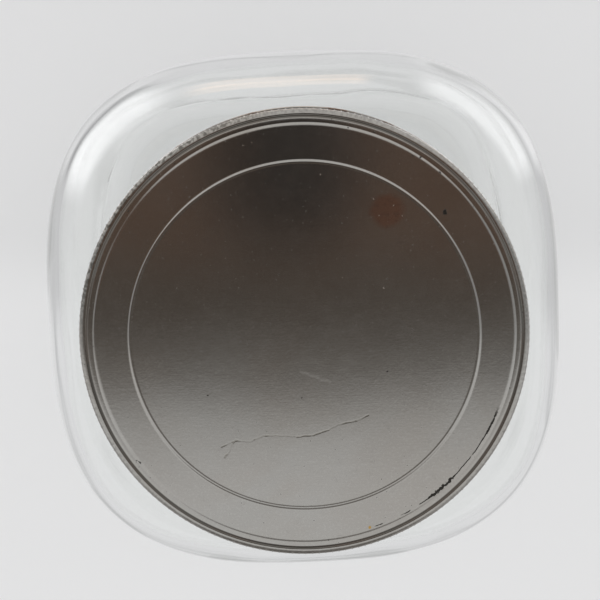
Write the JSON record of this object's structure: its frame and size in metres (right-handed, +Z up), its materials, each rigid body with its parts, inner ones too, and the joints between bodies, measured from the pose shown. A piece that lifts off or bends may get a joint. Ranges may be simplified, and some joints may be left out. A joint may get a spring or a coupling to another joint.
{
  "type": "glass storage jar",
  "caption": "Square clear glass storage jar with rounded shoulders and a wide pressed tinplate screw lid.",
  "frame": {"origin": "centre of the underside of the base, with the jar standing upright", "axes": "+Z up through the middle of the lid, +X and +Y square to two flat sides of the body"},
  "size_m": [0.15, 0.15, 0.1403],
  "materials": {
    "glass_jar": "clear, polished",
    "lid_shell": "bare tinplate, dulled, with fine rolling grain, scratches and rust spots",
    "liner_board": "matt pulpboard",
    "liner_facing": "coated paper, slightly satin"
  },
  "bodies": {
    "jar": {"glass_jar": "glass_jar"},
    "liner": {"liner_board": "liner_board", "liner_facing": "liner_facing"},
    "lid": {"lid_shell": "lid_shell"}
  },
  "joints": [
    {"name": "lid_lift", "type": "slide", "parent": "jar", "child": "liner", "axis": [0, 0, 1], "range_m": [0, 0.01525]},
    {"name": "lid_turn", "type": "hinge", "parent": "liner", "child": "lid", "pos_m": [0, 0, 0.14], "axis": [0, 0, 1], "range_deg": [0, 1080]}
  ],
  "couplings": [
    {"joint": "lid_lift", "follows": "lid_turn", "m_per_rad": 0.00080851}
  ]
}
